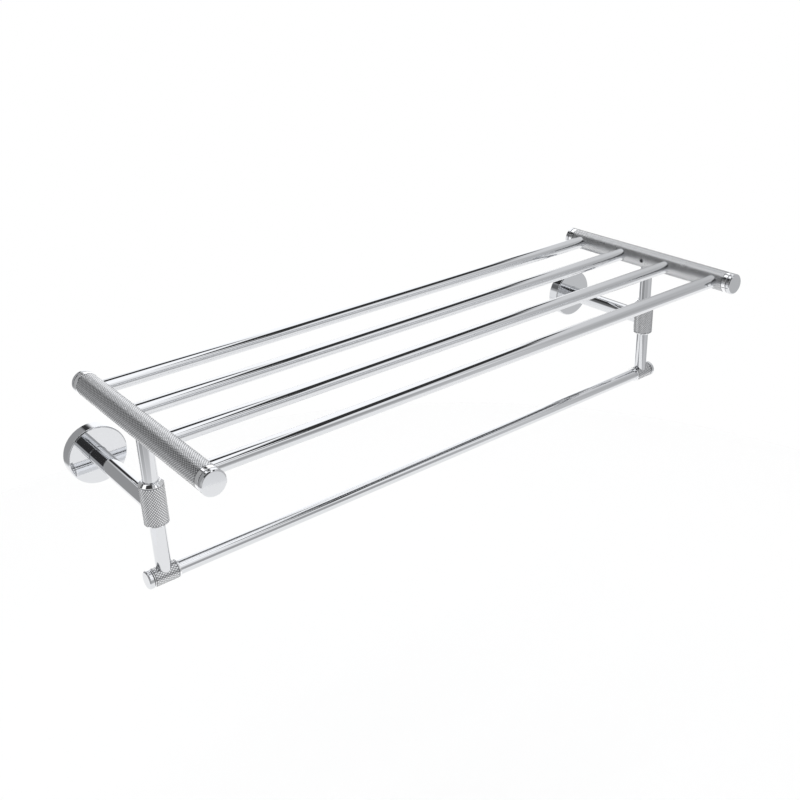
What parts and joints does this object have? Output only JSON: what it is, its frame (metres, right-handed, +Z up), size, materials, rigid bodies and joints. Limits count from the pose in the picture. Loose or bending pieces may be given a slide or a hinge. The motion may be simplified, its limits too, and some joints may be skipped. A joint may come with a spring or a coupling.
{
  "type": "towel rack",
  "caption": "Wall-mounted chrome towel rack: a shelf of parallel rails between knurled side tubes, with a towel bar below on two posts held by wall arms.",
  "frame": {"origin": "on the wall plane, midway between the two wall plates and at the height of the arms", "axes": "+X along the rails to the right as seen facing the wall, +Y into the wall, +Z up"},
  "size_m": [0.6422, 0.231, 0.1523],
  "materials": {
    "chrome": "polished",
    "knurled_chrome": "diamond knurled, polished",
    "zinc_steel": "zinc plated",
    "black_steel": "black oxide"
  },
  "bodies": {
    "root": {"shelf_rail_1": "chrome", "shelf_rail_2": "chrome", "shelf_rail_3": "chrome", "shelf_rail_4": "chrome", "side_tube_left": "knurled_chrome", "side_tube_right": "knurled_chrome", "tube_cap_front_left": "chrome", "tube_cap_front_right": "chrome", "tube_cap_rear_left": "chrome", "tube_cap_rear_right": "chrome", "post_left": "chrome", "post_right": "chrome", "collar_left": "knurled_chrome", "collar_right": "knurled_chrome", "arm_left": "chrome", "arm_right": "chrome", "rosette_left": "chrome", "rosette_right": "chrome", "wall_plate_left": "zinc_steel", "wall_plate_right": "zinc_steel", "bar_sleeve_left": "knurled_chrome", "bar_sleeve_right": "knurled_chrome", "sleeve_cap_left": "chrome", "sleeve_cap_right": "chrome", "towel_bar": "chrome", "tube_set_screws": "black_steel", "rosette_set_screws": "black_steel", "arm_studs": "zinc_steel", "arm_base_studs": "zinc_steel", "post_studs": "zinc_steel"}
  },
  "joints": []
}
